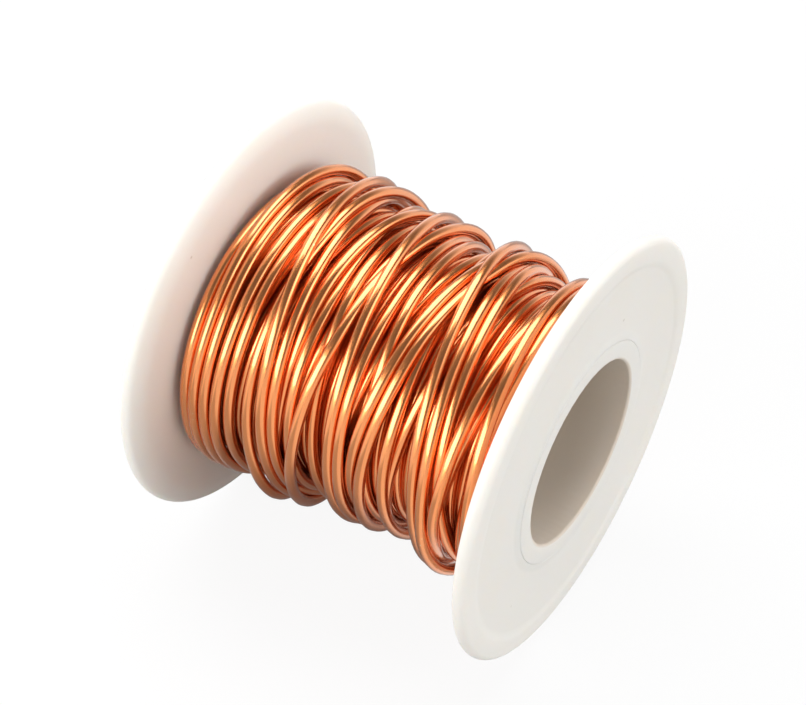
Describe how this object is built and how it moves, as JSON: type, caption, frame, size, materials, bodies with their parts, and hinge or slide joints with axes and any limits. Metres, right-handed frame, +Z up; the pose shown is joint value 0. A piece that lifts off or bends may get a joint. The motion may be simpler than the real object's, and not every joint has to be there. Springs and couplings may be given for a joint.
{
  "type": "wire spool",
  "caption": "Small flanged plastic spool wound with enamelled copper wire; a hub tube with a through bore joins two round flanges.",
  "frame": {"origin": "middle of the through bore, half way between the two flanges' outer faces", "axes": "+X along the bore, towards the right flange; +Z up with the spool lying on its two rims; +Y across the spool, level"},
  "size_m": [0.0444, 0.0508, 0.0508],
  "materials": {
    "plastic": "natural white, satin",
    "wire": "enamelled copper, glossy"
  },
  "bodies": {
    "root": {"hub_tube": "plastic", "left_flange": "plastic", "right_flange": "plastic", "inner_layers": "wire", "outer_turns": "wire"}
  },
  "joints": []
}
